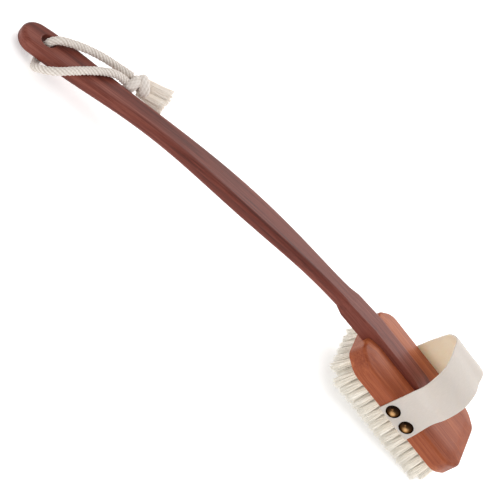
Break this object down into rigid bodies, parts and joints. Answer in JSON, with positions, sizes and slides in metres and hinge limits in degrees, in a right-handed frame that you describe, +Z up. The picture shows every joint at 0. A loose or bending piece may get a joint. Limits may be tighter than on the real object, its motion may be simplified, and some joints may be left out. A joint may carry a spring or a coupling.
{
  "type": "body brush",
  "caption": "Long-handled body brush: a bowed wooden handle slides into a dovetail groove in a bristled wooden head with a hand strap, and a knotted rope loop hangs it up.",
  "frame": {"origin": "middle of the underside of the bounding box, on the table the brush lies on, bristles down", "axes": "+X along the brush from the handle's tip to the head, +Y across it, +Z up"},
  "size_m": [0.4672, 0.0766, 0.0884],
  "materials": {
    "head_wood": "oiled, reddish orange brown, fine grain along the head",
    "handle_wood": "satin oiled, darker red brown, fine grain along the handle",
    "bristle": "off-white bristle, straight and fine",
    "anchor_wire": "plain flattened wire",
    "strap_canvas": "plain woven cotton webbing, undyed, beige on the inside",
    "nail_brass": "antique brass, dark and polished",
    "rope_cotton": "twisted cotton rope, undyed"
  },
  "bodies": {
    "head": {"head_block": "head_wood", "bristle_row_1": "bristle", "bristle_row_2": "bristle", "bristle_row_3": "bristle", "bristle_row_4": "bristle", "bristle_row_5": "bristle", "bristle_row_6": "bristle", "bristle_row_7": "bristle", "bristle_row_8": "bristle", "tuft_anchors": "anchor_wire", "hand_strap": "strap_canvas", "strap_nails": "nail_brass"},
    "handle": {"handle": "handle_wood", "rope_loop": "rope_cotton", "rope_knot": "rope_cotton", "rope_end_long": "rope_cotton", "rope_end_short": "rope_cotton"}
  },
  "joints": [
    {"name": "handle_slide", "type": "slide", "parent": "head", "child": "handle", "axis": [-0.9939, 0, 0.1102], "range_m": [0, 0.085]}
  ]
}
